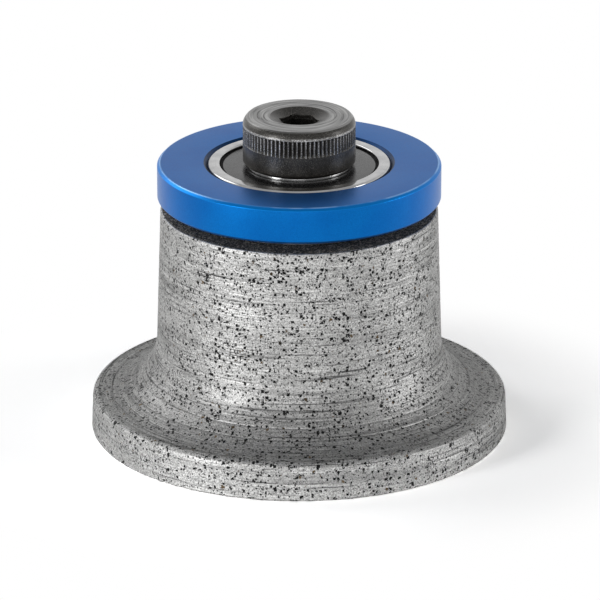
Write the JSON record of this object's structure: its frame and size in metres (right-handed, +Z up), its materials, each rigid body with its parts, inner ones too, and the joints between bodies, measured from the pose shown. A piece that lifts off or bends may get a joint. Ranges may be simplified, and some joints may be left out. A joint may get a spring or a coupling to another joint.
{
  "type": "router profile wheel",
  "caption": "Cove-profile grinding wheel with a wide flange, a guide ring on a ball bearing on top and a threaded spindle hole below.",
  "frame": {"origin": "on the wheel's axis, at the underside that it stands on", "axes": "+Z up along the axis, from the flange towards the screw's head"},
  "size_m": [0.06, 0.06, 0.0467],
  "materials": {
    "diamond_bond": "sintered metal bond, turned, with fine dark grit",
    "hub_steel": "turned steel",
    "black_screw": "black oxide",
    "bearing_steel": "ground and polished",
    "blue_anodised": "blue anodised, turned",
    "seal_rubber": "moulded nitrile, satin",
    "cage_steel": "pressed strip",
    "ball_steel": "polished"
  },
  "bodies": {
    "wheel": {"abrasive_body": "diamond_bond", "hub_core": "hub_steel", "shoulder_screw": "black_screw", "bearing_inner_ring": "bearing_steel"},
    "guide": {"guide_ring": "blue_anodised", "bearing_outer_ring": "bearing_steel", "upper_seal": "seal_rubber", "lower_seal": "seal_rubber"},
    "cage": {"cage_upper_half": "cage_steel", "cage_lower_half": "cage_steel", "cage_rivets": "cage_steel", "ball_1": "ball_steel", "ball_2": "ball_steel", "ball_3": "ball_steel", "ball_4": "ball_steel", "ball_5": "ball_steel", "ball_6": "ball_steel", "ball_7": "ball_steel"}
  },
  "joints": [
    {"name": "guide_spin", "type": "hinge", "parent": "wheel", "child": "guide", "pos_m": [0, 0, 0.03582], "axis": [0, 0, 1], "continuous": true},
    {"name": "cage_spin", "type": "hinge", "parent": "wheel", "child": "cage", "pos_m": [0, 0, 0.03582], "axis": [0, 0, 1], "continuous": true}
  ],
  "couplings": [
    {"joint": "cage_spin", "follows": "guide_spin", "ratio": 0.6323}
  ]
}
